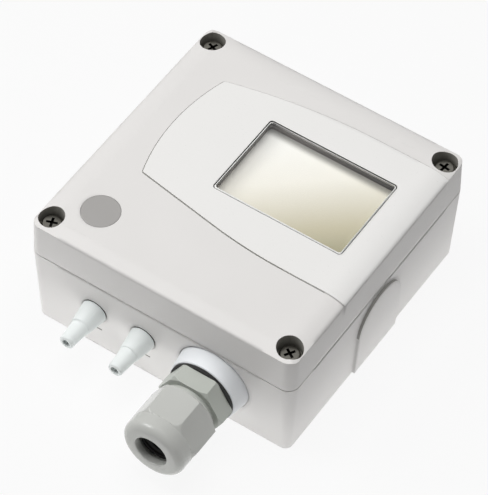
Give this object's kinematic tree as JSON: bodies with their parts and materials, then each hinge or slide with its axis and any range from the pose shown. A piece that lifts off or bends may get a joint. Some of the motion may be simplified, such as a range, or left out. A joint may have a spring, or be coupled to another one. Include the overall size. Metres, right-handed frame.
{
  "type": "differential pressure transmitter",
  "caption": "Wall-mounted differential pressure transmitter: two-part plastic housing with display window, conical hose connectors and a cable gland.",
  "frame": {"origin": "centre of the housing's back face, which lies against the wall", "axes": "+Z out of the display, away from the wall; -Y towards the side with the hose connectors and the gland; +X to the right of the display"},
  "size_m": [0.1211, 0.1626, 0.0574],
  "materials": {
    "housing_plastic": "fine matt",
    "clear_plastic": "clear, polished",
    "display_glass": "satin",
    "bezel_plastic": "matt",
    "light_guide": "milky",
    "disc_metal": "fine brushed",
    "screw_steel": "bright",
    "insert_brass": "turned",
    "seal_rubber": "matt",
    "hose_rubber": "soft satin",
    "port_plastic": "satin",
    "collar_plastic": "satin",
    "gland_plastic": "satin",
    "dome_plastic": "semi-gloss",
    "board_laminate": "lacquered",
    "component_black": "satin",
    "cell_plastic": "matt",
    "terminal_green": "satin",
    "cable_film": "satin",
    "socket_plastic": "matt"
  },
  "bodies": {
    "housing": {"rear_housing": "housing_plastic", "lcd_panel": "display_glass", "display_bezel": "bezel_plastic", "backlight": "light_guide", "board_screws": "screw_steel", "display_screws": "screw_steel", "terminal_screws": "screw_steel", "thread_inserts": "insert_brass", "display_standoffs": "insert_brass", "port_seals": "seal_rubber", "gland_seal_ring": "seal_rubber", "gland_seal": "seal_rubber", "high_hose": "hose_rubber", "low_hose": "hose_rubber", "high_port": "port_plastic", "low_port": "port_plastic", "port_nuts": "port_plastic", "gland_collar": "collar_plastic", "gland_body": "gland_plastic", "gland_lock_nut": "gland_plastic", "main_board": "board_laminate", "display_board": "board_laminate", "board_components": "component_black", "sensor_cell": "cell_plastic", "supply_terminal": "terminal_green", "output_terminal": "terminal_green", "display_cable": "cable_film", "cable_sockets": "socket_plastic"},
    "lid": {"lid": "housing_plastic", "lid_screws": "screw_steel", "lid_gasket": "seal_rubber", "window_pane": "clear_plastic", "marker_disc": "disc_metal"},
    "dome_nut": {"gland_dome_nut": "dome_plastic"}
  },
  "joints": [
    {"name": "lid_lift", "type": "slide", "parent": "housing", "child": "lid", "axis": [0, 0, 1], "range_m": [0, 0.05]},
    {"name": "dome_nut_turn", "type": "hinge", "parent": "housing", "child": "dome_nut", "pos_m": [0.0248, -0.0783, 0.0223], "axis": [0, -1, 0], "range_deg": [0, 720]}
  ]
}
